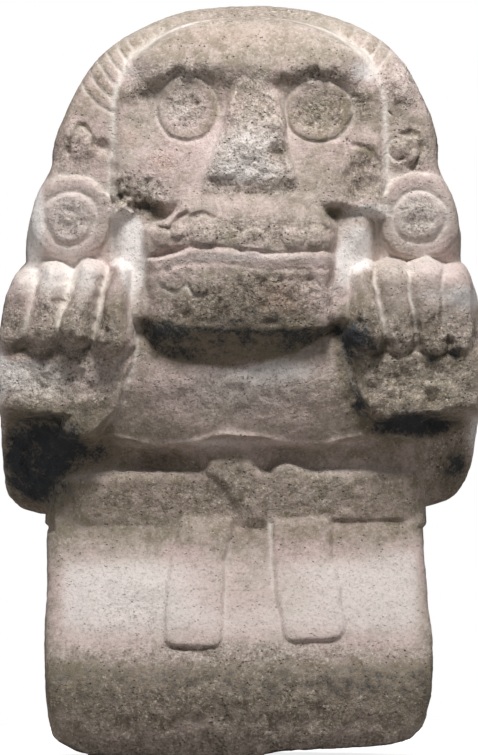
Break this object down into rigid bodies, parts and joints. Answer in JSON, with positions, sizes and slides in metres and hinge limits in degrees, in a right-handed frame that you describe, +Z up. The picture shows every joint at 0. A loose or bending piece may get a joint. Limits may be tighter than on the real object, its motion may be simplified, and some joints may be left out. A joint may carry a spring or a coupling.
{
  "type": "stone deity statue",
  "caption": "Kneeling skull-faced deity in volcanic stone: bared teeth, round ear spools, raised clawed hands, knotted sash and skirt, on a flat underside.",
  "frame": {"origin": "middle of the plan box, on the flat underside that the figure kneels on", "axes": "+Z up from the knees to the crown, -Y the way the figure faces, +X towards the figure's own left hand"},
  "size_m": [0.4804, 0.419, 0.75],
  "materials": {
    "stone": "rough porous volcanic stone, grey-brown, with pale dust in the cuts and dark worn breaks"
  },
  "bodies": {
    "root": {"statue": "stone"}
  },
  "joints": []
}
